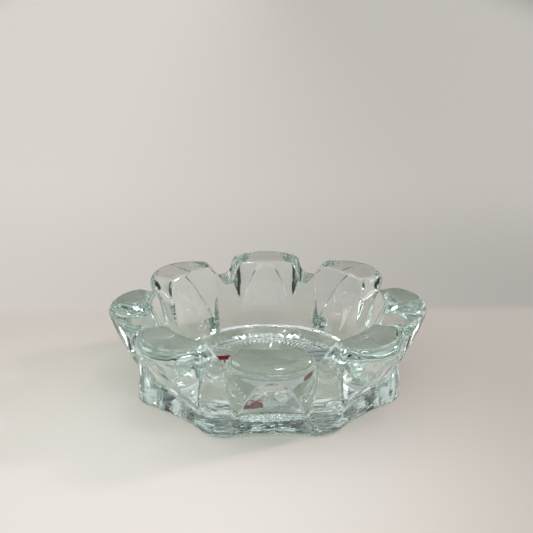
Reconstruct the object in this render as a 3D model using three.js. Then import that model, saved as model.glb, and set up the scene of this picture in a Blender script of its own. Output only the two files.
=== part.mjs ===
// A pressed-glass candle holder: a heavy dish with eight round-nosed petals, and the paper label on its floor.
// Millimetres, +Z up. The origin is the middle of the foot, on the table, and one petal points to -Y.

import * as THREE from 'three';

// Petals
const PETAL_COUNT = 8;
const PETAL_REACH = 65; // from the axis to a petal's tip
const PETAL_TOP = 34; // height of the flat petal tops
const PETAL_LEAN = 0.363; // how far a petal's face moves out for each unit of height
const PETAL_HALF_WIDTH = 17.5; // also the plan radius of its round nose
const LIP_ROUND = 3.6; // rounding of the top edge, outside
const INNER_LIP_ROUND = 1.5;

// The arched scoop in each petal's face
const SCOOP_CROWN = 5.8; // how far the arch's crown lies below the petal's top
const SCOOP_SILL = 10; // height where the slanting scoop leaves the foot
const SCOOP_ARC = 47; // plan radius across the scoop
const SCOOP_EDGE = 0.3; // softness of its edge

// Foot and ribs
const FOOT_INSET = 14; // how far the middle of a side of the foot stays behind the petal's tip
const FOOT_ARC = 83; // plan radius across a side of the foot
const RIB_ROUND = 9.6; // softness of the ribs' rounded corners
const RIB_DRAFT = 0.044; // how far the ribs draw in for each unit of height
const FOOT_EDGE = 1; // bevel at the table
const FLANK_FILLET = 1.6; // softness where petals grow out of the foot and the ribs
const RECESS_RADIUS = 30; // the pushed-up middle of the underside
const RECESS_DEPTH = 1.2;
const RECESS_SLOPE = 1.5; // width of its sloping border

// Notches between the petals
const NOTCH_DEPTH = 6; // below the petal tops, at the outer edge
const NOTCH_FALL = 2.2; // how much deeper a notch is at the inner edge
const NOTCH_HALF_FLAT = 0.6; // half-width of its flat bottom
const NOTCH_HALF_MOUTH = 7.8; // half-width where its sides reach the petal tops

// Inside of the dish
const FLOOR_HEIGHT = 7;
const FLOOR_FILLET = 1.2; // radius of the sweep from the floor into the wall
const PETAL_THICKNESS = 17.8; // from a petal's tip to the inner wall, at the petal's top
const WALL_LEAN = 0.375; // how far the inner wall moves out for each unit of height

// The label on the floor
const LABEL_WIDTH = 22;
const LABEL_THICKNESS = 0.125;
const LABEL_CORNER = 1;
const LABEL_TURN = 8.2; // degrees, anticlockwise from +X
const LABEL_SHIFT = 4.14; // from the axis to its middle, along its long side
const LABEL_DROP = 3.53; // and across it, towards -Y
const LABEL_CLEARANCE = 2.3; // from its far corner to the edge of the flat floor

// How finely the glass is faceted
const SCOOP_STEPS = 3;
const FACE_STEPS = 4;
const NOTCH_STEPS = 3;
const OUTER_STEPS = 12;
const LIP_STEPS = 2;
const INNER_STEPS = 5;
const FILLET_STEPS = 2;
const SEARCH_ROUNDS = 12;
const SCOOP_SHARE = 0.3; // least share of a petal's half that the columns across its scoop take
const CREASE_LIMIT = 0.9; // most of the half pitch that the columns across a petal take
const FLOOR_SHARE = 0.5; // where the flat floor's facets divide, as a share of its radius

const HALF_PITCH = Math.PI / PETAL_COUNT;
const QUARTER_TURN = Math.PI / 2;
const LEAN_ANGLE = Math.atan(PETAL_LEAN);
const WALL_ANGLE = Math.atan(WALL_LEAN);
const FACE_TOP = PETAL_TOP - LIP_ROUND * (1 + Math.sin(LEAN_ANGLE)); // where the leaning face meets the lip
const FACE_TOP_REACH = PETAL_REACH - LIP_ROUND * (1 - Math.cos(LEAN_ANGLE));
const FOOT_SIDE = PETAL_REACH - FOOT_INSET;

// The smaller of two values, eased over the given width
const softMin = (a, b, width) => {
  const overlap = Math.max(width - Math.abs(a - b), 0) / width;
  return Math.min(a, b) - (overlap * overlap * width) / 4;
};

const softMax = (a, b, width) => -softMin(-a, -b, width);

// Distance from the axis to a petal's face along its middle line
const faceReach = (height) => FACE_TOP_REACH - PETAL_LEAN * (FACE_TOP - height);

// The polar radius of an outline that is given as distance along the petal's axis for each sideways place
const polarRadius = (angle, distanceAt) => {
  let radius = distanceAt(0);
  for (let round = 0; round < SEARCH_ROUNDS; round += 1) {
    radius = distanceAt(radius * Math.sin(angle)) / Math.cos(angle);
  }
  return radius;
};

// A petal in plan: a round nose between parallel sides
const petalPlan = (angle, height) => {
  const centre = faceReach(height) - PETAL_HALF_WIDTH;
  if (angle < Math.atan2(PETAL_HALF_WIDTH, centre)) {
    return centre * Math.cos(angle) + Math.sqrt(PETAL_HALF_WIDTH ** 2 - (centre * Math.sin(angle)) ** 2);
  }
  return PETAL_HALF_WIDTH / Math.sin(angle);
};

// Distance from the axis to the scoop along the petal's middle line. The scoop is a straight slanting cut from
// its sill on the foot to its crown on the petal's face
const scoopReach = (height) => {
  const crown = PETAL_TOP - SCOOP_CROWN;
  return THREE.MathUtils.mapLinear(height, SCOOP_SILL, crown, FOOT_SIDE, faceReach(crown));
};

const scoopPlan = (angle, height) => {
  const middle = scoopReach(height);
  return polarRadius(angle, (side) => middle + (side * side) / (2 * SCOOP_ARC));
};

// The foot and the ribs: hollow sides between rounded corners
const footPlan = (angle, height) => {
  const middle = FOOT_SIDE - RIB_DRAFT * height;
  const side = (turn) => polarRadius(turn, (across) => middle + (across * across) / (2 * FOOT_ARC));
  return softMin(side(angle), side(2 * HALF_PITCH - angle), RIB_ROUND);
};

// Radius of the outside, for an angle measured from the nearest petal's middle
const outerRadius = (angle, height) => {
  const scooped = softMin(petalPlan(angle, height), scoopPlan(angle, height), SCOOP_EDGE);
  return softMax(scooped, footPlan(angle, height), FLANK_FILLET);
};

// Height of the rim: flat petal tops with a round-shouldered notch of the given depth between them
const rimHeight = (angle, radius, depth) => {
  const side = radius * Math.sin(HALF_PITCH - angle);
  return PETAL_TOP - depth * (1 - THREE.MathUtils.smoothstep(side, NOTCH_HALF_FLAT, NOTCH_HALF_MOUTH));
};

// Radius of the round inside of the dish above its floor
const innerRadius = (height) => PETAL_REACH - PETAL_THICKNESS - WALL_LEAN * (PETAL_TOP - height);
const floorRadius = innerRadius(FLOOR_HEIGHT + FLOOR_FILLET) - FLOOR_FILLET;

// The angle where a petal's side runs into the foot or the rib
const creaseAngle = (height) => {
  let petalSide = 0;
  let ribSide = HALF_PITCH;
  for (let round = 0; round < SEARCH_ROUNDS; round += 1) {
    const middle = (petalSide + ribSide) / 2;
    if (petalPlan(middle, height) > footPlan(middle, height)) {
      petalSide = middle;
    } else {
      ribSide = middle;
    }
  }
  return Math.min(petalSide, CREASE_LIMIT * HALF_PITCH);
};

// The angles of the columns at a height, from a petal's middle past its scoop's edge and its crease to the rib
const columnAngles = (height) => {
  const crease = creaseAngle(height);
  const depth = Math.max(faceReach(height) - scoopReach(Math.max(height, SCOOP_SILL)), 0);
  const scoopSide = Math.sqrt((2 * depth) / (1 / SCOOP_ARC + 1 / PETAL_HALF_WIDTH));
  const scoopAngle = scoopSide / faceReach(height);
  const edge = THREE.MathUtils.clamp(scoopAngle, SCOOP_SHARE * crease, (1 - SCOOP_SHARE) * crease);
  const angles = [];
  for (let step = 0; step < SCOOP_STEPS; step += 1) {
    angles.push((edge * step) / SCOOP_STEPS);
  }
  for (let step = 0; step < FACE_STEPS; step += 1) {
    angles.push(THREE.MathUtils.lerp(edge, crease, step / FACE_STEPS));
  }
  for (let step = 0; step <= NOTCH_STEPS; step += 1) {
    angles.push(THREE.MathUtils.lerp(crease, HALF_PITCH, step / NOTCH_STEPS));
  }
  return angles;
};

// One column of points over the glass, each an angle, a radius and a height: from the underside up the
// outside, over the lip, down the inside and onto the floor
const columnPoints = (column) => {
  const rimAngle = columnAngles(FACE_TOP)[column];
  const footAngle = columnAngles(FOOT_EDGE)[column];
  const lipMiddle = rimHeight(rimAngle, outerRadius(rimAngle, FACE_TOP), NOTCH_DEPTH) - LIP_ROUND;
  const faceTop = lipMiddle - LIP_ROUND * Math.sin(LEAN_ANGLE);
  const footRadius = outerRadius(footAngle, FOOT_EDGE);
  const points = [
    [footAngle, RECESS_RADIUS - RECESS_SLOPE, RECESS_DEPTH],
    [footAngle, RECESS_RADIUS, 0],
    [footAngle, footRadius - FOOT_EDGE, 0],
  ];
  for (let step = 0; step <= OUTER_STEPS; step += 1) {
    const height = THREE.MathUtils.lerp(FOOT_EDGE, faceTop, step / OUTER_STEPS);
    const angle = columnAngles(height)[column];
    points.push([angle, outerRadius(angle, height), height]);
  }
  const angle = columnAngles(faceTop)[column];
  const lipCentre = outerRadius(angle, faceTop) - LIP_ROUND * Math.cos(LEAN_ANGLE);
  for (let step = 0; step <= LIP_STEPS; step += 1) {
    const turn = (step / LIP_STEPS) * QUARTER_TURN;
    points.push([angle, lipCentre + LIP_ROUND * Math.cos(turn), lipMiddle + LIP_ROUND * Math.sin(turn)]);
  }
  const innerRim = rimHeight(angle, innerRadius(PETAL_TOP), NOTCH_DEPTH + NOTCH_FALL);
  const innerMiddle = innerRim - INNER_LIP_ROUND;
  const wallTop = innerMiddle + INNER_LIP_ROUND * Math.sin(WALL_ANGLE);
  const innerCentre = innerRadius(wallTop) + INNER_LIP_ROUND * Math.cos(WALL_ANGLE);
  for (let step = 0; step < LIP_STEPS; step += 1) {
    const turn = THREE.MathUtils.lerp(QUARTER_TURN, WALL_ANGLE, step / LIP_STEPS);
    const radius = innerCentre - INNER_LIP_ROUND * Math.cos(turn);
    points.push([angle, radius, innerMiddle + INNER_LIP_ROUND * Math.sin(turn)]);
  }
  const filletTop = FLOOR_HEIGHT + FLOOR_FILLET;
  for (let step = 0; step <= INNER_STEPS; step += 1) {
    const height = THREE.MathUtils.lerp(wallTop, filletTop, step / INNER_STEPS);
    points.push([angle, innerRadius(height), height]);
  }
  const filletRadius = innerRadius(filletTop);
  for (let step = 1; step <= FILLET_STEPS; step += 1) {
    const turn = (step / FILLET_STEPS) * QUARTER_TURN;
    const height = filletTop - FLOOR_FILLET * Math.sin(turn);
    points.push([angle, filletRadius - FLOOR_FILLET * (1 - Math.cos(turn)), height]);
  }
  points.push([angle, FLOOR_SHARE * floorRadius, FLOOR_HEIGHT]);
  return points;
};

// The dish: the columns all the way round, closed by the middles of the underside and of the floor
const makeGlassDish = () => {
  const columns = SCOOP_STEPS + FACE_STEPS + NOTCH_STEPS;
  const half = Array.from({ length: columns + 1 }, (_, column) => columnPoints(column));
  const mirrored = half.slice(1, -1).reverse();
  const rows = half[0].length;
  const positions = [];
  for (let petal = 0; petal < PETAL_COUNT; petal += 1) {
    const bearing = -QUARTER_TURN + 2 * HALF_PITCH * petal;
    for (const [angle, radius, height] of half.flat()) {
      positions.push(radius * Math.cos(bearing + angle), radius * Math.sin(bearing + angle), height);
    }
    const nextBearing = bearing + 2 * HALF_PITCH;
    for (const [angle, radius, height] of mirrored.flat()) {
      positions.push(radius * Math.cos(nextBearing - angle), radius * Math.sin(nextBearing - angle), height);
    }
  }
  const underMiddle = positions.length / 3;
  const floorMiddle = underMiddle + 1;
  positions.push(0, 0, RECESS_DEPTH, 0, 0, FLOOR_HEIGHT);
  const indices = [];
  for (let here = 0; here < underMiddle; here += rows) {
    const next = (here + rows) % underMiddle;
    indices.push(underMiddle, next, here);
    for (let row = 0; row < rows - 1; row += 1) {
      indices.push(here + row, next + row, next + row + 1);
      indices.push(here + row, next + row + 1, here + row + 1);
    }
    indices.push(floorMiddle, here + rows - 1, next + rows - 1);
  }
  const geometry = new THREE.BufferGeometry();
  geometry.setAttribute('position', new THREE.Float32BufferAttribute(positions, 3));
  geometry.setIndex(indices);
  geometry.computeVertexNormals();
  const glass = new THREE.MeshStandardMaterial({ color: 0xd3e0d8, roughness: 0.03, metalness: 0 });
  const dish = new THREE.Mesh(geometry, glass);
  dish.name = 'glass_dish';
  return dish;
};

// The label: a thin rectangle with rounded corners, lying on the floor
const makePaperLabel = () => {
  const cornerReach = floorRadius - LABEL_CLEARANCE;
  const halfLength = Math.sqrt(cornerReach ** 2 - (LABEL_WIDTH / 2 + LABEL_DROP) ** 2) - LABEL_SHIFT;
  const x = halfLength - LABEL_CORNER;
  const y = LABEL_WIDTH / 2 - LABEL_CORNER;
  const outline = new THREE.Shape();
  outline.absarc(x, y, LABEL_CORNER, 0, QUARTER_TURN);
  outline.absarc(-x, y, LABEL_CORNER, QUARTER_TURN, 2 * QUARTER_TURN);
  outline.absarc(-x, -y, LABEL_CORNER, 2 * QUARTER_TURN, 3 * QUARTER_TURN);
  outline.absarc(x, -y, LABEL_CORNER, 3 * QUARTER_TURN, 4 * QUARTER_TURN);
  const options = { depth: LABEL_THICKNESS, bevelEnabled: false, curveSegments: 4 };
  const geometry = new THREE.ExtrudeGeometry(outline, options).translate(LABEL_SHIFT, -LABEL_DROP, 0);
  const paper = new THREE.MeshStandardMaterial({ color: 0xecebe6, roughness: 0.7, metalness: 0 });
  const label = new THREE.Mesh(geometry, paper);
  label.name = 'paper_label';
  label.rotation.z = THREE.MathUtils.degToRad(LABEL_TURN);
  label.position.z = FLOOR_HEIGHT;
  return label;
};

const candleHolder = new THREE.Group();
candleHolder.add(makeGlassDish());
candleHolder.add(makePaperLabel());

export default candleHolder;
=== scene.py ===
"""A pressed-glass candle holder and its paper label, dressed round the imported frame."""

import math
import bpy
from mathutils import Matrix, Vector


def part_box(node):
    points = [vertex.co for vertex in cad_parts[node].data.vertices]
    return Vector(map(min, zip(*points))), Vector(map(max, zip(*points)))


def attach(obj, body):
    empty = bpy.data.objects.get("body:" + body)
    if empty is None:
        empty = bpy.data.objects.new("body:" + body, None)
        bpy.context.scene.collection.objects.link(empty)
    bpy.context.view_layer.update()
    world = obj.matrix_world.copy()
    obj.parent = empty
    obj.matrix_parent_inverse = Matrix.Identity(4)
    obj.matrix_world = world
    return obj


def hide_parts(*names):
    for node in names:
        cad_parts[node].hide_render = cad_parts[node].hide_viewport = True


bl_info = {
    "name": "Petal Candle Holder",
    "version": (1, 0, 0),
    "blender": (4, 5, 0),
    "location": "View3D > Sidebar > Candle Holder",
    "description": "Builds a pressed-glass dish with petals and a printed paper label on its floor",
    "category": "Object",
}

import bpy
from bpy.props import FloatProperty, FloatVectorProperty, IntProperty, PointerProperty
from mathutils import Matrix, Vector

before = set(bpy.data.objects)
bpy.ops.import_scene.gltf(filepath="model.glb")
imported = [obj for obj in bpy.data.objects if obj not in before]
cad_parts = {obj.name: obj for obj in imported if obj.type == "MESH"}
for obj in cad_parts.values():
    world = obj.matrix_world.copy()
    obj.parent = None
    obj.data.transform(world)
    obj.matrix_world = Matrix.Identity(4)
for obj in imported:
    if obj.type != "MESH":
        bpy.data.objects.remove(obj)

MM = 0.001
DISH_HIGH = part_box("glass_dish")[1]
LABEL_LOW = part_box("paper_label")[0]
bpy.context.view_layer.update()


# Properties


def length(name, description, default):
    return FloatProperty(name=name, description=description, default=default, unit="LENGTH", precision=5)


def ratio(name, description, default):
    return FloatProperty(name=name, description=description, default=default, precision=4)


def angle(name, description, degrees):
    return FloatProperty(name=name, description=description, default=math.radians(degrees), unit="ROTATION")


def count(name, description, default):
    return IntProperty(name=name, description=description, default=default, min=1)


def colour(name, description, default):
    return FloatVectorProperty(
        name=name, description=description, default=default, subtype="COLOR", size=3, min=0, max=1
    )


class PetalDishSizes(bpy.types.PropertyGroup):
    """Sizes of the glass dish."""

    petal_count: count("Petals", "Petals round the dish", 8)
    petal_reach: length("Petal Reach", "From the axis to a petal's tip", 65 * MM)
    petal_top: length("Petal Top", "Height of the flat petal tops", DISH_HIGH[2])
    petal_lean: ratio("Petal Lean", "How far a petal's face moves out for each unit of height", 0.363)
    petal_half_width: length("Petal Half Width", "Also the plan radius of its round nose", 17.5 * MM)
    lip_round: length("Lip Round", "Rounding of the outer top edge", 3.6 * MM)
    inner_lip_round: length("Inner Lip Round", "Rounding of the inner top edge", 1.5 * MM)
    scoop_crown: length("Scoop Crown", "How far the arch's crown lies below the petal's top", 5.8 * MM)
    scoop_sill: length("Scoop Sill", "Height where the slanting scoop leaves the foot", 10 * MM)
    scoop_arc: length("Scoop Arc", "Plan radius across the scoop", 47 * MM)
    scoop_edge: length("Scoop Edge", "Softness of the scoop's edge", 0.5 * MM)
    scoop_step: length("Scoop Step", "How far the glass drops at the scoop's edge", 0.7 * MM)
    foot_inset: length("Foot Inset", "How far a side of the foot stays behind the petal's tip", 14 * MM)
    foot_arc: length("Foot Arc", "Plan radius across a side of the foot", 83 * MM)
    rib_round: length("Rib Round", "Softness of the ribs' rounded corners", 9.6 * MM)
    rib_draft: ratio("Rib Draft", "How far the ribs draw in for each unit of height", 0.044)
    foot_edge: length("Foot Edge", "Rounding at the table", 1 * MM)
    flank_fillet: length("Flank Fillet", "Softness where petals grow out of the foot", 1.6 * MM)
    recess_radius: length("Recess Radius", "Radius of the pushed-up middle of the underside", 30 * MM)
    recess_depth: length("Recess Depth", "Depth of the pushed-up middle", 1.2 * MM)
    recess_slope: length("Recess Slope", "Width of its sloping border", 1.5 * MM)
    notch_depth: length("Notch Depth", "Depth of a notch's outer edge below the petal tops", 6 * MM)
    notch_fall: length("Notch Fall", "How much deeper a notch is at its inner edge", 2.2 * MM)
    notch_half_flat: length("Notch Half Flat", "Half-width of a notch's flat bottom", 0.6 * MM)
    notch_half_mouth: length("Notch Half Mouth", "Half-width where it reaches the petal tops", 7.8 * MM)
    floor_height: length("Floor Height", "Height of the dish floor", LABEL_LOW[2])
    floor_fillet: length("Floor Fillet", "Radius of the sweep from the floor into the wall", 1.2 * MM)
    petal_thickness: length("Petal Thickness", "From a petal's tip to the inner wall, at the top", 17.8 * MM)
    wall_lean: ratio("Wall Lean", "How far the inner wall moves out for each unit of height", 0.375)
    flutes: count("Flutes", "Fine flutes on the underside of each petal's share", 10)
    flute_start: length("Flute Start", "Inner radius of the ring of fine flutes", 21.5 * MM)
    flute_end: length("Flute End", "Outer radius of the ring of fine flutes", 27 * MM)
    flute_depth: length("Flute Depth", "Depth of the fine flutes", 0.5 * MM)
    flute_bite: length("Flute Bite", "How far they bite into the sloping border", 1.2 * MM)
    wave_height: length("Wave Height", "How far the fire-polished skin sinks in its hollows", 0.25 * MM)
    wave_length: length("Wave Length", "Distance from one hollow to the next", 6 * MM)
    wave_seed: ratio("Wave Seed", "Which pattern of hollows the skin has", 3)


class GlassLook(bpy.types.PropertyGroup):
    """The look of the pressed glass."""

    tint: colour("Tint", "Colour that passes the surface", (0.97, 1.0, 0.985))
    depth_tint: colour("Depth Tint", "Colour that passes a thick piece of glass", (0.6, 0.82, 0.75))
    depth_density: ratio("Depth Density", "How fast the glass colours light, for each metre", 7)
    bending: ratio("Index", "Index of refraction", 1.52)
    ripple: length("Ripple", "Height of the ripples in the skin", 0.08 * MM)
    ripple_size: length("Ripple Size", "Distance from one ripple to the next", 4 * MM)
    streak: length("Streak", "Height of the fine upright streaks in the skin", 0.002 * MM)
    swirl: length("Swirl", "Height of the swirls in the foot", 0.03 * MM)
    swirl_size: length("Swirl Size", "Distance from one swirl to the next", 2 * MM)
    scuff: ratio("Scuff", "Roughness of the scuffed spots under the foot", 0.12)
    shadow_tint: colour("Shadow Tint", "Light that passes each surface into the shadow", (0.87, 0.9, 0.875))


class LabelSizes(bpy.types.PropertyGroup):
    """Sizes and colours of the paper label."""

    shift: length("Shift", "From the axis to the label's middle, along its long side", 4.14 * MM)
    drop: length("Drop", "From the axis to its middle, across it and towards the front", 3.53 * MM)
    long_side: length("Length", "Length of the label", 53.2 * MM)
    short_side: length("Width", "Width of the label", 22 * MM)
    thickness: length("Thickness", "Thickness of the paper", 0.125 * MM)
    corner: length("Corner", "Radius of its corners", 1 * MM)
    turn: angle("Turn", "Turn of its long side from the X axis", 8.2)
    cockle: length("Cockle", "How far the paper lifts off the glass", 0.05 * MM)
    panel_length: length("Panel Length", "Length of the red panel at its left end", 15 * MM)
    stripe_length: length("Stripe Length", "Length of the striped part at its right end", 19 * MM)
    stripe_pitch: length("Stripe Pitch", "Distance from one thick stripe to the next", 4.2 * MM)
    paper: colour("Paper", "Colour of the bare paper", (0.34, 0.37, 0.36))
    red: colour("Red", "Colour of the printed panel", (0.075, 0.001, 0.0015))
    grey: colour("Grey", "Colour of the printed stripes", (0.05, 0.055, 0.07))


class StageLook(bpy.types.PropertyGroup):
    """The floor, the light from all round, the lamps and the camera."""

    # The floor's colours paint light and shade: a painted pool of light round a bright spot in front on the
    # left, fading over the reach into painted shade, which is darker towards the right.
    floor: colour("Floor", "Colour of the floor at its brightest, in front on the left", (0.6, 0.565, 0.53))
    floor_painted_shade_left: colour("Floor Away", "Its colour far from there, on the left", (0.45, 0.41, 0.37))
    floor_painted_shade_right: colour("Floor Right", "Its colour far from there, on the right", (0.36, 0.325, 0.29))
    floor_reach: length("Floor Reach", "How far away that colour is reached", 190 * MM)
    painted_light_pool_radius: length("Bright Radius", "Radius of the floor's brightest spot", 20 * MM)
    painted_light_pool_left: length("Bright Left", "How far that spot lies to the left of the axis", 50 * MM)
    painted_light_pool_front: length("Bright Front", "How far it lies in front of the axis", 100 * MM)
    # The backdrop's colours paint shade: it is darker towards the right, and dimmer near the floor's edge
    # until the rise is passed.
    backdrop: colour("Backdrop", "Colour of the floor behind its edge, on the left", (0.51, 0.48, 0.446))
    backdrop_painted_shade_right: colour("Backdrop Right", "Its colour far to the right", (0.385, 0.362, 0.334))
    backdrop_painted_edge_shade: ratio("Backdrop Dim", "Its share of light at the floor's edge, on the left", 0.92)
    backdrop_painted_edge_shade_right: ratio("Backdrop Dim Right", "The same, far to the right", 0.76)
    backdrop_rise: length("Backdrop Rise", "How far behind the edge its full colour is reached", 250 * MM)
    floor_edge: length("Floor Edge", "How far behind the axis the colour changes", 72 * MM)
    edge_softness: length("Edge Softness", "How far to each side of the edge it changes", 6 * MM)
    # The painted shade on the floor and the backdrop deepens towards the right over this distance.
    gradient: length("Gradient", "How far from the axis the colours at the right are reached", 160 * MM)
    floor_side: length("Floor Side", "Side of the whole floor", 12)
    # Painted shade: the ground beyond the pale floor is near-black and stands in for the unlit room round
    # the floor.
    unlit_room_painted_shade: colour("Room", "Colour of the ground beyond the pale floor", (0.04, 0.05, 0.045))
    room_start: length("Room Start", "How far from the axis the pale floor begins to end", 0.4)
    room_full: length("Room Full", "How far from the axis it has ended", 0.8)
    world: colour("World", "Colour of the light from all round", (0.93, 0.935, 0.94))
    world_low: ratio("World Low", "Share of that light that comes from near the horizon", 0.05)
    world_low_end: ratio("World Low End", "Height where the dark horizon ends, as a sine", 0.3)
    world_full: ratio("World Full", "Height where the full light is reached, as a sine", 0.8)
    world_strength: ratio("World Strength", "Strength of the light from all round", 0.85)
    key_strength: ratio("Key Strength", "Strength of the lamp on the left", 0.6)
    top_strength: ratio("Top Strength", "Strength of the lamp above", 0.8)
    fill_strength: ratio("Fill Strength", "Strength of the window-like lamp on the right", 3.3)
    key_width: angle("Key Width", "How wide the lamp on the left looks from the dish", 28)
    top_width: angle("Top Width", "How wide the lamp above looks from the dish", 12)
    fill_width: angle("Fill Width", "How wide the lamp on the right looks from the dish", 8)
    bounces: count("Bounces", "How often light may bounce inside the glass", 24)
    camera_distance: length("Camera Distance", "From the middle of the foot to the camera", 430.2 * MM)
    camera_height: angle("Camera Height", "Height of the camera over the floor, as an angle", 26)
    camera_tilt: angle("Camera Tilt", "How far the camera looks down", 19.9)
    camera_turn: angle("Camera Turn", "How far the camera stands to the left", 1.2)
    camera_side: length("Camera Side", "How far it stands beside its line of sight", -0.7 * MM)
    lens: ratio("Lens", "Focal length in millimetres, on a sensor 36 mm wide", 68.94)


# Node trees


class Wire:
    """A number in a node tree. An operator used on it adds a Math node."""

    def __init__(self, nodes, socket):
        self.nodes = nodes
        self.socket = socket

    def __add__(self, other):
        return self.nodes.maths("ADD", self, other)

    def __sub__(self, other):
        return self.nodes.maths("SUBTRACT", self, other)

    def __rsub__(self, other):
        return self.nodes.maths("SUBTRACT", other, self)

    def __mul__(self, other):
        return self.nodes.maths("MULTIPLY", self, other)

    def __truediv__(self, other):
        return self.nodes.maths("DIVIDE", self, other)

    def __rtruediv__(self, other):
        return self.nodes.maths("DIVIDE", other, self)

    def __abs__(self):
        return self.nodes.maths("ABSOLUTE", self)

    __rmul__ = __mul__


class Nodes:
    """Adds nodes to one tree."""

    def __init__(self, tree):
        self.tree = tree

    def add(self, kind, settings, sockets, output=0):
        """Adds a node: its settings first, then the values or links of its sockets."""
        node = self.tree.nodes.new(kind)
        for name, value in settings.items():
            setattr(node, name, value)
        for name, value in sockets.items():
            if isinstance(value, Wire):
                self.tree.links.new(value.socket, node.inputs[name])
            else:
                node.inputs[name].default_value = value
        return Wire(self, node.outputs[output]) if node.outputs else None

    def also(self, wire, output):
        """Another output of the node that a wire comes from."""
        return Wire(self, wire.socket.node.outputs[output])

    def maths(self, operation, *values):
        return self.add("ShaderNodeMath", {"operation": operation}, dict(enumerate(values)))

    def ease(self, value, start, end):
        """Goes smoothly from 0 to 1 while the value goes from start to end."""
        sockets = {"Value": value, "From Min": start, "From Max": end}
        return self.add("ShaderNodeMapRange", {"interpolation_type": "SMOOTHSTEP"}, sockets)

    def mix(self, factor, first, second):
        """A colour between two colours."""
        colours = {"Factor": factor, 6: first, 7: second}
        return self.add("ShaderNodeMix", {"data_type": "RGBA"}, colours, output=2)

    def noise(self, vector, scale, detail):
        return self.add("ShaderNodeTexNoise", {}, {"Vector": vector, "Scale": scale, "Detail": detail})

    def bump(self, height, distance, strength):
        sockets = {"Height": height, "Distance": distance, "Strength": strength}
        return self.add("ShaderNodeBump", {}, sockets)


def new_material(name):
    """An empty material and the builder of its nodes."""
    material = bpy.data.materials.new(name)
    material.use_nodes = True
    material.node_tree.nodes.clear()
    return material, Nodes(material.node_tree)


def opaque(shade):
    return (*shade, 1)


def shaded(shade, share):
    return tuple(channel * share for channel in shade)


# Materials


TOUCHING = 0.05 * MM
SCUFF_SCALE = 2600
SCUFF_START = 0.62
SCUFF_FULL = 0.72
STREAK_SCALE = 750
STREAK_STRETCH = (1, 1, 0.25)
CLOUD_SCALE = 60
CLOUD_SHADE = 0.985
FIBRE_SCALE = 900
FIBRE_HEIGHT = 0.02 * MM
FIBRE_STRENGTH = 0.4
MOTTLE_SCALE = 90
MOTTLE_SHADE = 0.84
PRINT_SOFTNESS = 0.12 * MM
STRIPE_INK = 0.9
LINE_INK = 0.5
PAPER_ROUGHNESS = 0.8
PAPER_SHINE = 0.1
INK_GLOSS = 0.2
GRAIN_SCALE = 700
GRAIN_HEIGHT = 0.05 * MM
GRAIN_STRENGTH = 0.1
FLOOR_ROUGHNESS = 0.7


def glass_material(look, sizes):
    """Clear glass with a pale green depth, soft ripples and a foot that the table has scuffed."""
    material, nodes = new_material("pressed_glass")
    place = nodes.add("ShaderNodeTexCoord", {}, {}, output="Object")
    height = nodes.add("ShaderNodeSeparateXYZ", {}, {0: place}, output="Z")
    touching = 1 - nodes.ease(height, TOUCHING, sizes.foot_edge / 2)
    scuff = touching * nodes.ease(nodes.noise(place, SCUFF_SCALE, 3), SCUFF_START, SCUFF_FULL)
    upright = nodes.add("ShaderNodeMapping", {}, {"Vector": place, "Scale": STREAK_STRETCH})
    in_foot = 1 - nodes.ease(height, 0, sizes.scoop_sill)
    skin = nodes.noise(place, 1 / look.ripple_size, 1) * look.ripple
    skin = skin + nodes.noise(upright, STREAK_SCALE, 2) * look.streak
    skin = skin + in_foot * nodes.noise(place, 1 / look.swirl_size, 2) * look.swirl
    cloud = nodes.noise(place, CLOUD_SCALE, 1)
    surface = nodes.add(
        "ShaderNodeBsdfPrincipled",
        {},
        {
            "Base Color": nodes.mix(cloud, opaque(look.tint), opaque(shaded(look.tint, CLOUD_SHADE))),
            "Roughness": scuff * look.scuff,
            "IOR": look.bending,
            "Transmission Weight": 1,
            "Normal": nodes.bump(skin, 1, 1),
        },
    )
    passing = nodes.add("ShaderNodeBsdfTransparent", {}, {"Color": opaque(look.shadow_tint)})
    shadow_ray = nodes.add("ShaderNodeLightPath", {}, {}, output="Is Shadow Ray")
    shader = nodes.add("ShaderNodeMixShader", {}, {0: shadow_ray, 1: surface, 2: passing})
    depth = {"Color": opaque(look.depth_tint), "Density": look.depth_density}
    volume = nodes.add("ShaderNodeVolumeAbsorption", {}, depth)
    nodes.add("ShaderNodeOutputMaterial", {}, {"Surface": shader, "Volume": volume})
    return material


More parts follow.
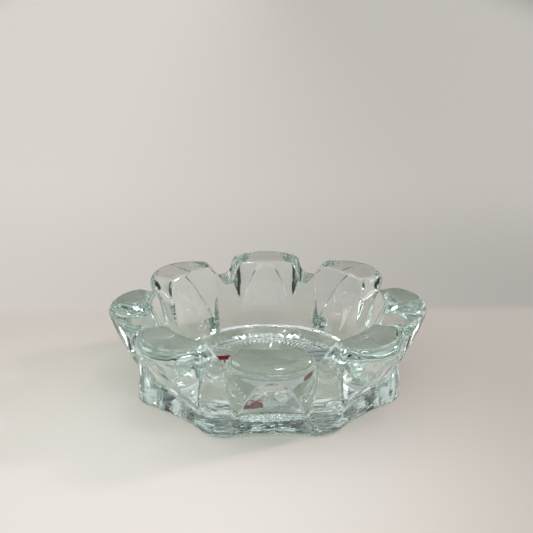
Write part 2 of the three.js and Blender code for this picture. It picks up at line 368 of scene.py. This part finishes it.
def label_material(sizes):
    """Printed paper: a red panel with a plain leaf, fine lines on bare paper, and dark stripes."""
    material, nodes = new_material("label_paper")
    place = nodes.add("ShaderNodeTexCoord", {}, {}, output="Object")
    middle = Matrix.Rotation(sizes.turn, 3, "Z") @ Vector((sizes.shift, -sizes.drop, 0))
    own_place = {"Vector": place, "Location": middle, "Rotation": (0, 0, sizes.turn)}
    local = nodes.add("ShaderNodeMapping", {"vector_type": "TEXTURE"}, own_place)
    along = nodes.add("ShaderNodeSeparateXYZ", {}, {0: local}, output="X")
    across = nodes.also(along, "Y")
    soft = PRINT_SOFTNESS

    left = -sizes.long_side / 2
    panel_end = left + sizes.panel_length
    panel = 1 - nodes.ease(along, panel_end - soft, panel_end + soft)
    # the leaf is where two round shapes overlap
    leaf_round = 5 * MM
    leaf_offset = 2.7 * MM
    leaf_along = 4.4 * MM
    leaf_across = 3.4 * MM
    vein_half = 0.3 * MM
    sideways = along - (left + leaf_along)
    upwards = across - leaf_across
    near = nodes.maths("SQRT", (sideways - leaf_offset) * (sideways - leaf_offset) + upwards * upwards)
    far = nodes.maths("SQRT", (sideways + leaf_offset) * (sideways + leaf_offset) + upwards * upwards)
    leaf = 1 - nodes.ease(nodes.maths("MAXIMUM", near, far), leaf_round - soft, leaf_round + soft)
    vein = nodes.ease(abs(sideways), vein_half, vein_half + soft)

    thick_half = 0.5 * MM
    thin_place = 1.4 * MM
    thin_half = 0.16 * MM
    stripes_start = -left - sizes.stripe_length
    striped = nodes.ease(along, stripes_start - soft, stripes_start + soft)
    stripe_phase = nodes.maths("PINGPONG", across, sizes.stripe_pitch / 2)
    thick = 1 - nodes.ease(stripe_phase, thick_half, thick_half + soft)
    thin = 1 - nodes.ease(abs(stripe_phase - thin_place), thin_half, thin_half + soft)
    stripe = striped * nodes.maths("MAXIMUM", thick, thin)

    margin = 2 * MM
    line_pitch = 1.5 * MM
    line_half = 0.1 * MM
    lines_start = panel_end + margin
    lines_end = stripes_start - margin
    lined = nodes.ease(along, lines_start, lines_start + soft)
    lined = lined * (1 - nodes.ease(along, lines_end - soft, lines_end))
    line_phase = nodes.maths("PINGPONG", across, line_pitch / 2)
    line = lined * (1 - nodes.ease(line_phase, line_half, line_half + soft))

    fibre = nodes.noise(local, FIBRE_SCALE, 4)
    mottle = nodes.noise(local, MOTTLE_SCALE, 2)
    paper = nodes.mix(mottle, opaque(sizes.paper), opaque(shaded(sizes.paper, MOTTLE_SHADE)))
    ink = nodes.mix(panel * (1 - leaf * vein), paper, opaque(sizes.red))
    ink = nodes.mix(stripe * STRIPE_INK, ink, opaque(sizes.grey))
    ink = nodes.mix(line * LINE_INK, ink, opaque(sizes.grey))
    surface = nodes.add(
        "ShaderNodeBsdfPrincipled",
        {},
        {
            "Base Color": ink,
            "Roughness": PAPER_ROUGHNESS - nodes.maths("MAXIMUM", panel, stripe) * INK_GLOSS,
            "Specular IOR Level": PAPER_SHINE,
            "Normal": nodes.bump(fibre, FIBRE_HEIGHT, FIBRE_STRENGTH),
        },
    )
    nodes.add("ShaderNodeOutputMaterial", {}, {"Surface": surface})
    return material


def floor_material(look):
    """A plain pale floor with a painted pool of light and painted shade towards the right, a greyer backdrop
    behind its edge with painted shade near the edge and on the right, and painted near-black shade beyond it
    at the sides and in front.
    """
    material, nodes = new_material("pale_floor")
    place = nodes.add("ShaderNodeTexCoord", {}, {}, output="Object")
    back = nodes.add("ShaderNodeSeparateXYZ", {}, {0: place}, output="Y")
    side = nodes.also(back, "X")
    # Painted pool of light: the floor is brightest round a spot in front on the left and fades into painted
    # shade away from it and towards the right.
    beside = side + look.painted_light_pool_left
    before = back + look.painted_light_pool_front
    away = nodes.maths("SQRT", beside * beside + before * before)
    right = nodes.ease(side, -look.gradient, look.gradient)
    floor_painted_shade = nodes.mix(right, opaque(look.floor_painted_shade_left), opaque(look.floor_painted_shade_right))
    near = nodes.mix(nodes.ease(away, look.painted_light_pool_radius, look.floor_reach), opaque(look.floor), floor_painted_shade)
    # Painted shade on the backdrop: darker near the floor's edge and towards the right.
    edge_painted_shade_left = opaque(shaded(look.backdrop, look.backdrop_painted_edge_shade))
    edge_painted_shade_right = opaque(shaded(look.backdrop_painted_shade_right, look.backdrop_painted_edge_shade_right))
    edge_painted_shade = nodes.mix(right, edge_painted_shade_left, edge_painted_shade_right)
    high = nodes.mix(right, opaque(look.backdrop), opaque(look.backdrop_painted_shade_right))
    edge = look.floor_edge
    far = nodes.mix(nodes.ease(back, edge, edge + look.backdrop_rise), edge_painted_shade, high)
    behind = nodes.ease(back, edge - look.edge_softness, edge + look.edge_softness)
    # Painted shade beyond the pale floor: near-black ground that stands in for the unlit room.
    reach = nodes.maths("MAXIMUM", abs(side), -1 * back)
    outside = nodes.ease(reach, look.room_start, look.room_full)
    ground = nodes.mix(outside, nodes.mix(behind, near, far), opaque(look.unlit_room_painted_shade))
    grain = nodes.noise(place, GRAIN_SCALE, 3)
    surface = nodes.add(
        "ShaderNodeBsdfPrincipled",
        {},
        {
            "Base Color": ground,
            "Roughness": FLOOR_ROUGHNESS,
            "Normal": nodes.bump(grain, GRAIN_HEIGHT, GRAIN_STRENGTH),
        },
    )
    nodes.add("ShaderNodeOutputMaterial", {}, {"Surface": surface})
    return material


# Shape of the dish


ZONE_STEPS = 16
CROWDING = 1.6
SCOOP_LEAST = 0.3
SCOOP_MOST = 0.7
CREASE_LIMIT = 0.9
OUTER_STEPS = 42
LIP_STEPS = 8
TOP_STEPS = 3
INNER_LIP_STEPS = 5
WALL_STEPS = 15
FILLET_STEPS = 6
FLOOR_STEPS = 10
SLOPE_STEPS = 5
FOOT_STEPS = 4
FOOT_EDGE_STEPS = 5
SEARCH_ROUNDS = 14
MIDDLE_SHARES = (0.25, 0.5, 0.75)
# places across the ring of flutes, each with the share of the flutes' depth that is reached there
FLUTE_PROFILE = ((0, 0), (0.12, 1), (0.5, 1), (0.88, 1), (1, 0))
MERGE_DISTANCE = 0.001 * MM


def blend(first, second, share):
    return first + (second - first) * share


def smooth_step(start, end, value):
    share = min(max((value - start) / (end - start), 0), 1)
    return share * share * (3 - 2 * share)


def soft_min(first, second, width):
    """The smaller of two values, eased over the given width."""
    overlap = max(width - abs(first - second), 0) / width
    return min(first, second) - overlap * overlap * width / 4


def soft_max(first, second, width):
    return -soft_min(-first, -second, width)


def polar_radius(turn, distance_at):
    """The polar radius of an outline that is given as distance along an axis for each sideways place."""
    radius = distance_at(0)
    for _ in range(SEARCH_ROUNDS):
        radius = distance_at(radius * math.sin(turn)) / math.cos(turn)
    return radius


class DishShape:
    """The dish's surfaces. A turn is the angle from the middle of the nearest petal."""

    def __init__(self, sizes):
        self.sizes = sizes
        self.half_pitch = math.pi / sizes.petal_count
        self.lean_angle = math.atan(sizes.petal_lean)
        self.wall_angle = math.atan(sizes.wall_lean)
        self.face_top = sizes.petal_top - sizes.lip_round * (1 + math.sin(self.lean_angle))
        self.face_top_reach = sizes.petal_reach - sizes.lip_round * (1 - math.cos(self.lean_angle))
        self.foot_side = sizes.petal_reach - sizes.foot_inset

    def face_reach(self, height):
        """Distance from the axis to a petal's face along its middle line."""
        return self.face_top_reach - self.sizes.petal_lean * (self.face_top - height)

    def petal(self, turn, height):
        """A petal in plan: a round nose between parallel sides."""
        half_width = self.sizes.petal_half_width
        centre = self.face_reach(height) - half_width
        if turn < math.atan2(half_width, centre):
            return centre * math.cos(turn) + math.sqrt(half_width**2 - (centre * math.sin(turn)) ** 2)
        return half_width / math.sin(turn)

    def scoop_reach(self, height):
        """Distance from the axis to the scoop, a straight slanting cut from its sill to its crown."""
        sizes = self.sizes
        crown = sizes.petal_top - sizes.scoop_crown
        share = (height - sizes.scoop_sill) / (crown - sizes.scoop_sill)
        return blend(self.foot_side, self.face_reach(crown), share)

    def hollow(self, turn, middle, arc):
        """An outline that is hollow across a petal's middle line, with the given plan radius."""
        return polar_radius(turn, lambda side: middle + side * side / (2 * arc))

    def foot(self, turn, height):
        """The foot and the ribs: hollow sides between rounded corners."""
        middle = self.foot_side - self.sizes.rib_draft * height
        near = self.hollow(turn, middle, self.sizes.foot_arc)
        far = self.hollow(2 * self.half_pitch - turn, middle, self.sizes.foot_arc)
        return soft_min(near, far, self.sizes.rib_round)

    def outer(self, turn, height):
        """Radius of the outside: the scooped petal where it stands out of the foot or the rib."""
        sizes = self.sizes
        petal = self.petal(turn, height)
        scoop = self.hollow(turn, self.scoop_reach(height), sizes.scoop_arc)
        scoop -= sizes.scoop_step * smooth_step(0, sizes.scoop_edge, petal - scoop)
        scooped = soft_min(petal, scoop, sizes.scoop_edge)
        return soft_max(scooped, self.foot(turn, height), sizes.flank_fillet)

    def inner(self, height):
        """Radius of the inner wall, a cone."""
        sizes = self.sizes
        return sizes.petal_reach - sizes.petal_thickness - sizes.wall_lean * (sizes.petal_top - height)

    def rim(self, turn, radius, depth):
        """Height of the rim: flat petal tops with a round-shouldered notch of that depth between them."""
        sizes = self.sizes
        side = radius * math.sin(self.half_pitch - turn)
        rise = smooth_step(sizes.notch_half_flat, sizes.notch_half_mouth, side)
        return sizes.petal_top - depth * (1 - rise)

    def crease(self, height):
        """The turn where a petal's side runs into the foot or the rib."""
        petal_side = 0
        rib_side = self.half_pitch
        for _ in range(SEARCH_ROUNDS):
            middle = (petal_side + rib_side) / 2
            if self.petal(middle, height) > self.foot(middle, height):
                petal_side = middle
            else:
                rib_side = middle
        return min(petal_side, CREASE_LIMIT * self.half_pitch)

    def turns(self, height):
        """Turns of the columns, which crowd at the scoop's edge and follow the crease."""
        crease = self.crease(height)
        depth = max(self.face_reach(height) - self.scoop_reach(max(height, self.sizes.scoop_sill)), 0)
        scoop_side = math.sqrt(2 * depth / (1 / self.sizes.scoop_arc + 1 / self.sizes.petal_half_width))
        edge = scoop_side / self.face_reach(height)
        edge = min(max(edge, SCOOP_LEAST * crease), SCOOP_MOST * crease)
        shares = [step / ZONE_STEPS for step in range(ZONE_STEPS)]
        turns = [edge * (1 - (1 - share) ** CROWDING) for share in shares]
        turns += [blend(edge, crease, share**CROWDING) for share in shares]
        turns += [blend(crease, self.half_pitch, share) for share in shares]
        return [*turns, self.half_pitch]


def underside_points(sizes, even_turn, wave):
    """Points from near the middle of the underside, over the fine flutes, to the edge of the foot ring."""
    points = [(even_turn, sizes.flute_start * share, sizes.recess_depth) for share in MIDDLE_SHARES]
    width = sizes.flute_end - sizes.flute_start
    for share, rise in FLUTE_PROFILE:
        height = sizes.recess_depth + sizes.flute_depth * wave * rise
        points.append((even_turn, sizes.flute_start + width * share, height))
    for step in range(SLOPE_STEPS + 1):
        share = step / SLOPE_STEPS
        reach = sizes.recess_radius - (sizes.recess_slope + sizes.flute_bite * wave) * (1 - share)
        points.append((even_turn, reach, sizes.recess_depth * (1 - smooth_step(0, 1, share))))
    return points


def dish_column(shape, all_turns, column):
    """Points of one column, from underneath over the rim to the floor: turn, radius and height of each."""
    sizes = shape.sizes
    even_turn = shape.half_pitch * column / (3 * ZONE_STEPS)
    wave = 0.5 - 0.5 * math.cos(math.pi * sizes.flutes * even_turn / shape.half_pitch)
    points = underside_points(sizes, even_turn, wave)
    foot_turn = all_turns(sizes.foot_edge)[column]
    foot_radius = shape.outer(foot_turn, sizes.foot_edge) - sizes.foot_edge
    for step in range(1, FOOT_STEPS):
        share = step / FOOT_STEPS
        radius = blend(sizes.recess_radius, foot_radius, share)
        points.append((blend(even_turn, foot_turn, share), radius, 0))
    for step in range(FOOT_EDGE_STEPS):
        edge = math.pi / 2 * step / FOOT_EDGE_STEPS
        reach = foot_radius + sizes.foot_edge * math.sin(edge)
        points.append((foot_turn, reach, sizes.foot_edge * (1 - math.cos(edge))))

    lip = sizes.lip_round
    rim_turn = all_turns(shape.face_top)[column]
    lip_middle = shape.rim(rim_turn, shape.outer(rim_turn, shape.face_top), sizes.notch_depth) - lip
    face_top = lip_middle - lip * math.sin(shape.lean_angle)
    for step in range(OUTER_STEPS + 1):
        height = blend(sizes.foot_edge, face_top, step / OUTER_STEPS)
        turn = all_turns(height)[column]
        points.append((turn, shape.outer(turn, height), height))
    lip_centre = shape.outer(turn, face_top) - lip * math.cos(shape.lean_angle)
    for step in range(1, LIP_STEPS + 1):
        edge = blend(-shape.lean_angle, math.pi / 2, step / LIP_STEPS)
        points.append((turn, lip_centre + lip * math.cos(edge), lip_middle + lip * math.sin(edge)))

    inner_lip = sizes.inner_lip_round
    inner_depth = sizes.notch_depth + sizes.notch_fall
    inner_middle = shape.rim(turn, shape.inner(sizes.petal_top), inner_depth) - inner_lip
    wall_top = inner_middle + inner_lip * math.sin(shape.wall_angle)
    inner_centre = shape.inner(wall_top) + inner_lip * math.cos(shape.wall_angle)
    for step in range(1, TOP_STEPS):
        share = step / TOP_STEPS
        height = blend(lip_middle + lip, inner_middle + inner_lip, share)
        points.append((turn, blend(lip_centre, inner_centre, share), height))
    for step in range(INNER_LIP_STEPS):
        edge = blend(math.pi / 2, shape.wall_angle, step / INNER_LIP_STEPS)
        reach = inner_centre - inner_lip * math.cos(edge)
        points.append((turn, reach, inner_middle + inner_lip * math.sin(edge)))

    fillet = sizes.floor_fillet
    fillet_top = sizes.floor_height + fillet
    for step in range(WALL_STEPS + 1):
        share = step / WALL_STEPS
        height = blend(wall_top, fillet_top, share)
        points.append((blend(turn, even_turn, share), shape.inner(height), height))
    fillet_reach = shape.inner(fillet_top)
    for step in range(1, FILLET_STEPS + 1):
        edge = math.pi / 2 * step / FILLET_STEPS
        reach = fillet_reach - fillet * (1 - math.cos(edge))
        points.append((even_turn, reach, fillet_top - fillet * math.sin(edge)))
    floor_reach = fillet_reach - fillet
    for step in range(1, FLOOR_STEPS):
        points.append((even_turn, floor_reach * (1 - step / FLOOR_STEPS), sizes.floor_height))
    return points


def petal_sector(sizes):
    """One petal's share of the dish, open at its two sides, with its petal to the front."""
    shape = DishShape(sizes)
    known = {}

    def all_turns(height):
        if height not in known:
            known[height] = shape.turns(height)
        return known[height]

    half = [dish_column(shape, all_turns, column) for column in range(3 * ZONE_STEPS + 1)]
    mirrored = [[(-turn, radius, height) for turn, radius, height in points] for points in half[:0:-1]]
    front = -math.pi / 2
    places = []
    for points in mirrored + half:
        for turn, radius, height in points:
            places.append((radius * math.cos(front + turn), radius * math.sin(front + turn), height))
    rows = len(half[0])
    under = len(places)
    floor = under + 1
    places += [(0, 0, sizes.recess_depth), (0, 0, sizes.floor_height)]
    faces = []
    for here in range(0, under - rows, rows):
        there = here + rows
        faces.append((under, there, here))
        faces += [(here + row, there + row, there + row + 1, here + row + 1) for row in range(rows - 1)]
        faces.append((floor, here + rows - 1, there + rows - 1))
    mesh = bpy.data.meshes.new("petal_sector")
    mesh.from_pydata(places, [], faces)
    return mesh


def petal_ring_tree():
    """Geometry nodes that repeat a petal's share round the axis and sink soft waves into the skin."""
    tree = bpy.data.node_groups.new("petal_ring", "GeometryNodeTree")
    tree.interface.new_socket("Geometry", in_out="OUTPUT", socket_type="NodeSocketGeometry")
    for name, kind in (
        ("Geometry", "NodeSocketGeometry"),
        ("Petals", "NodeSocketInt"),
        ("Wave Height", "NodeSocketFloat"),
        ("Wave Length", "NodeSocketFloat"),
        ("Wave Seed", "NodeSocketFloat"),
        ("Glass", "NodeSocketMaterial"),
    ):
        tree.interface.new_socket(name, in_out="INPUT", socket_type=kind)
    nodes = Nodes(tree)
    sector = nodes.add("NodeGroupInput", {}, {}, output="Geometry")
    petals = nodes.also(sector, "Petals")
    points = nodes.add("GeometryNodeMeshLine", {}, {"Count": petals, "Offset": (0, 0, 0)})
    index = nodes.add("GeometryNodeInputIndex", {}, {})
    bearing = nodes.add("ShaderNodeCombineXYZ", {}, {"Z": index / petals * math.tau})
    placed = {"Points": points, "Instance": sector, "Rotation": bearing}
    ring = nodes.add("GeometryNodeInstanceOnPoints", {}, placed)
    loose = nodes.add("GeometryNodeRealizeInstances", {}, {"Geometry": ring})
    seams = {"Geometry": loose, "Distance": MERGE_DISTANCE}
    closed = nodes.add("GeometryNodeMergeByDistance", {}, seams)
    waves = nodes.add(
        "ShaderNodeTexNoise",
        {"noise_dimensions": "4D"},
        {"W": nodes.also(sector, "Wave Seed"), "Scale": 1 / nodes.also(sector, "Wave Length"), "Detail": 1},
    )
    outwards = nodes.add("GeometryNodeInputNormal", {}, {})
    sinking = nodes.add(
        "ShaderNodeVectorMath",
        {"operation": "SCALE"},
        {"Vector": outwards, "Scale": waves * nodes.also(sector, "Wave Height") * -1},
    )
    wavy = nodes.add("GeometryNodeSetPosition", {}, {"Geometry": closed, "Offset": sinking})
    smooth = nodes.add("GeometryNodeSetShadeSmooth", {}, {"Geometry": wavy})
    glass = {"Geometry": smooth, "Material": nodes.also(sector, "Glass")}
    nodes.add("NodeGroupOutput", {}, {"Geometry": nodes.add("GeometryNodeSetMaterial", {}, glass)})
    return tree


def shown_object(name, data):
    """A new object at the origin, in the scene."""
    piece = bpy.data.objects.new(name, data)
    bpy.context.scene.collection.objects.link(piece)
    return piece


def made_plain(carrier, name):
    """The evaluated shape of an object with a modifier, as a plain piece in its place."""
    evaluated = carrier.evaluated_get(bpy.context.evaluated_depsgraph_get())
    mesh = bpy.data.meshes.new_from_object(evaluated)
    carrier.modifiers.clear()
    source = carrier.data
    bpy.data.objects.remove(carrier)
    bpy.data.meshes.remove(source)
    mesh.name = name
    return shown_object(name, mesh)


# Pieces


class CANDLE_HOLDER_OT_glass_dish(bpy.types.Operator):
    """Build the pressed-glass dish with its petals, notches, ribs, foot and floor"""

    bl_idname = "candle_holder.glass_dish"
    bl_label = "Glass Dish"

    def execute(self, context):
        sizes = context.scene.petal_dish_sizes
        carrier = shown_object("petal_sector", petal_sector(sizes))
        tree = petal_ring_tree()
        ring = carrier.modifiers.new("petal_ring", "NODES")
        ring.node_group = tree
        values = {
            "Petals": sizes.petal_count,
            "Wave Height": sizes.wave_height,
            "Wave Length": sizes.wave_length,
            "Wave Seed": sizes.wave_seed,
            "Glass": glass_material(context.scene.glass_look, sizes),
        }
        for item in tree.interface.items_tree:
            if item.name in values:
                ring[item.identifier] = values[item.name]
        dish = made_plain(carrier, "pressed_glass_dish")
        if not dish.data.polygons:
            raise RuntimeError("the petal ring came out empty")
        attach(dish, "root")
        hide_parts("glass_dish")
        return {"FINISHED"}


LABEL_CORNER_STEPS = 5
LABEL_STEPS = 72
LABEL_LINES = 30
SWELL_START = 1
SWELL_ALONG = 9 * MM
SWELL_ACROSS = 6 * MM
SWELL_SLANT = 17 * MM


def label_mesh(sizes):
    """A thin sheet with rounded corners that lifts a little here and there."""
    straight = sizes.long_side / 2 - sizes.corner
    corner_steps = range(LABEL_CORNER_STEPS, 0, -1)
    arc = [math.pi / 2 * step / LABEL_CORNER_STEPS for step in corner_steps]
    ends = [(straight + sizes.corner * math.sin(turn), sizes.corner * (1 - math.cos(turn))) for turn in arc]
    stations = [(-along, inset) for along, inset in ends]
    stations += [(blend(-straight, straight, step / LABEL_STEPS), 0) for step in range(LABEL_STEPS + 1)]
    stations += ends[::-1]
    lines = LABEL_LINES
    own_place = Matrix.Rotation(sizes.turn, 4, "Z") @ Matrix.Translation((sizes.shift, -sizes.drop, 0))
    places = []
    for layer in (0, sizes.thickness):
        for along, inset in stations:
            half_width = sizes.short_side / 2 - inset
            for line in range(lines + 1):
                across = blend(-half_width, half_width, line / lines)
                swell = math.sin(along / SWELL_ALONG + SWELL_START)
                swell *= math.cos(across / SWELL_ACROSS + along / SWELL_SLANT)
                lift = sizes.cockle * (0.5 + 0.5 * swell)
                places.append(own_place @ Vector((along, across, LABEL_LOW[2] + layer + lift)))
    row = lines + 1
    top = len(stations) * row
    faces = []
    for start in range(0, top - row, row):
        for line in range(lines):
            corner = start + line
            faces.append((corner, corner + 1, corner + row + 1, corner + row))
            faces.append((top + corner, top + corner + row, top + corner + row + 1, top + corner + 1))
        last = start + lines
        faces.append((start, start + row, top + start + row, top + start))
        faces.append((last + row, last, top + last, top + last + row))
    end = top - row
    for line in range(lines):
        faces.append((line + 1, line, top + line, top + line + 1))
        faces.append((end + line, end + line + 1, top + end + line + 1, top + end + line))
    mesh = bpy.data.meshes.new("printed_paper_label")
    mesh.from_pydata(places, [], faces)
    return mesh


class CANDLE_HOLDER_OT_paper_label(bpy.types.Operator):
    """Build the printed paper label on the dish floor"""

    bl_idname = "candle_holder.paper_label"
    bl_label = "Paper Label"

    def execute(self, context):
        sizes = context.scene.label_sizes
        mesh = label_mesh(sizes)
        mesh.materials.append(label_material(sizes))
        label = shown_object("printed_paper_label", mesh)
        label.visible_shadow = False
        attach(label, "root")
        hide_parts("paper_label")
        return {"FINISHED"}


# Stage


FLOOR_DROP = 0.15 * MM
KEY_PLACE = (-2.7, 0.75, 1.65)
TOP_PLACE = (0.6, -0.3, 3.0)
FILL_PLACE = (2.6, 0.9, 1.4)


def soft_lamp(name, place, width, strength):
    """A soft round lamp so far away that it lights the whole floor evenly, shining through the origin."""
    light = bpy.data.lights.new(name, "SUN")
    light.angle = width
    light.energy = strength
    lamp = shown_object(name, light)
    lamp.location = place
    lamp.rotation_euler = (-Vector(place)).to_track_quat("-Z", "Y").to_euler()


def aim_camera(look):
    """The camera, which looks at the dish from the front."""
    camera = shown_object("camera", bpy.data.cameras.new("camera"))
    camera.data.lens = look.lens
    ahead = look.camera_distance * math.cos(look.camera_height)
    place = Vector((look.camera_side, -ahead, look.camera_distance * math.sin(look.camera_height)))
    camera.location = Matrix.Rotation(-look.camera_turn, 3, "Z") @ place
    camera.rotation_euler = (math.pi / 2 - look.camera_tilt, 0, -look.camera_turn)
    bpy.context.scene.camera = camera


class CANDLE_HOLDER_OT_stage(bpy.types.Operator):
    """Set up the pale floor, the soft lamps and the camera"""

    bl_idname = "candle_holder.stage"
    bl_label = "Stage"

    def execute(self, context):
        look = context.scene.stage_look
        half = look.floor_side / 2
        under = -FLOOR_DROP
        corners = [(-half, -half, under), (half, -half, under), (half, half, under), (-half, half, under)]
        mesh = bpy.data.meshes.new("floor")
        mesh.from_pydata(corners, [], [(0, 1, 2, 3)])
        mesh.materials.append(floor_material(look))
        shown_object("floor", mesh)
        world = bpy.data.worlds.new("studio")
        world.use_nodes = True
        world.node_tree.nodes.clear()
        nodes = Nodes(world.node_tree)
        way = nodes.add("ShaderNodeTexCoord", {}, {}, output="Generated")
        upwards = nodes.add("ShaderNodeSeparateXYZ", {}, {0: way}, output="Z")
        high = nodes.ease(upwards, look.world_low_end, look.world_full)
        shade = nodes.mix(high, opaque(shaded(look.world, look.world_low)), opaque(look.world))
        light = {"Color": shade, "Strength": look.world_strength}
        nodes.add("ShaderNodeOutputWorld", {}, {"Surface": nodes.add("ShaderNodeBackground", {}, light)})
        context.scene.world = world
        soft_lamp("key_lamp", KEY_PLACE, look.key_width, look.key_strength)
        soft_lamp("top_lamp", TOP_PLACE, look.top_width, look.top_strength)
        soft_lamp("fill_lamp", FILL_PLACE, look.fill_width, look.fill_strength)
        aim_camera(look)
        cycles = context.scene.cycles
        cycles.max_bounces = look.bounces
        cycles.glossy_bounces = look.bounces
        cycles.transmission_bounces = look.bounces
        cycles.transparent_max_bounces = look.bounces
        cycles.caustics_reflective = False
        cycles.caustics_refractive = False
        context.scene.view_settings.view_transform = "Standard"
        return {"FINISHED"}


# Add-on


class CANDLE_HOLDER_PT_panel(bpy.types.Panel):
    """The candle holder's sizes, looks and buttons"""

    bl_idname = "CANDLE_HOLDER_PT_panel"
    bl_label = "Candle Holder"
    bl_space_type = "VIEW_3D"
    bl_region_type = "UI"
    bl_category = "Candle Holder"

    def draw(self, context):
        for operator, groups in (
            (CANDLE_HOLDER_OT_glass_dish, ("petal_dish_sizes", "glass_look")),
            (CANDLE_HOLDER_OT_paper_label, ("label_sizes",)),
            (CANDLE_HOLDER_OT_stage, ("stage_look",)),
        ):
            box = self.layout.box()
            for group in groups:
                values = getattr(context.scene, group)
                for name in values.__annotations__:
                    box.prop(values, name)
            box.operator(operator.bl_idname)


GROUPS = {
    "petal_dish_sizes": PetalDishSizes,
    "glass_look": GlassLook,
    "label_sizes": LabelSizes,
    "stage_look": StageLook,
}
CLASSES = (
    *GROUPS.values(),
    CANDLE_HOLDER_OT_glass_dish,
    CANDLE_HOLDER_OT_paper_label,
    CANDLE_HOLDER_OT_stage,
    CANDLE_HOLDER_PT_panel,
)


def register():
    for cls in CLASSES:
        bpy.utils.register_class(cls)
    for name, group in GROUPS.items():
        setattr(bpy.types.Scene, name, PointerProperty(type=group))


def unregister():
    for name in GROUPS:
        delattr(bpy.types.Scene, name)
    for cls in reversed(CLASSES):
        bpy.utils.unregister_class(cls)


def main():
    register()
    bpy.ops.candle_holder.glass_dish()
    bpy.ops.candle_holder.paper_label()
    bpy.ops.candle_holder.stage()


if __name__ == "__main__":
    main()
